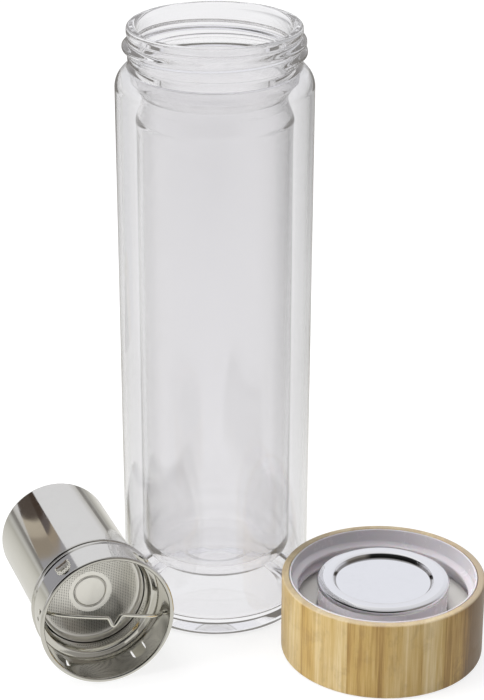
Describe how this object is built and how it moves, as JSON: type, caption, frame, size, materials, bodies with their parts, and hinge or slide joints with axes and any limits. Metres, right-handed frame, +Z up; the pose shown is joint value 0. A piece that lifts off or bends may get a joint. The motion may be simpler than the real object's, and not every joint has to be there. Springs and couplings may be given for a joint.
{
  "type": "tea infuser bottle",
  "caption": "Double-walled glass bottle with a threaded neck, a bamboo screw lid lying open beside it and a steel tea infuser with a wire handle lying on its side.",
  "frame": {"origin": "on the table, under the middle of the whole arrangement of bottle, lid and infuser", "axes": "+Z up along the bottle's axis, +X to the right and +Y away from the camera of the picture"},
  "size_m": [0.1749, 0.1093, 0.2188],
  "materials": {
    "clear_glass": "clear borosilicate, polished",
    "bamboo": "turned bamboo, satin oil",
    "liner_plastic": "moulded, smooth",
    "gasket_silicone": "silicone, matt",
    "polished_steel": "stainless steel, mirror polish",
    "infuser_steel": "stainless steel, bright",
    "perforated_steel": "stainless steel, finely perforated"
  },
  "bodies": {
    "bottle": {"inner_glass_vessel": "clear_glass", "outer_glass_jacket": "clear_glass", "base_vent_seal": "clear_glass"},
    "lid": {"bamboo_cap": "bamboo", "lid_liner": "liner_plastic", "lid_gasket": "gasket_silicone", "steel_plug_cap": "polished_steel"},
    "basket": {"basket_tube": "infuser_steel", "basket_base": "perforated_steel"},
    "collar": {"infuser_collar": "infuser_steel", "strainer_plate": "perforated_steel"},
    "handle": {"infuser_handle": "polished_steel"}
  },
  "joints": [
    {"name": "lid_lift", "type": "slide", "parent": "bottle", "child": "lid", "axis": [0, 0, 1], "range_m": [0, 0.06]},
    {"name": "infuser_lift", "type": "slide", "parent": "bottle", "child": "basket", "axis": [0, 0, 1], "range_m": [0, 0.06]},
    {"name": "collar_pull", "type": "slide", "parent": "basket", "child": "collar", "axis": [0.3169, -0.9471, 0.0514], "range_m": [0, 0.03]},
    {"name": "handle_swing", "type": "hinge", "parent": "collar", "child": "handle", "pos_m": [-0.0468, -0.03578, 0.0237], "axis": [0.9346, 0.3025, -0.1871], "range_deg": [-160, 190]}
  ]
}
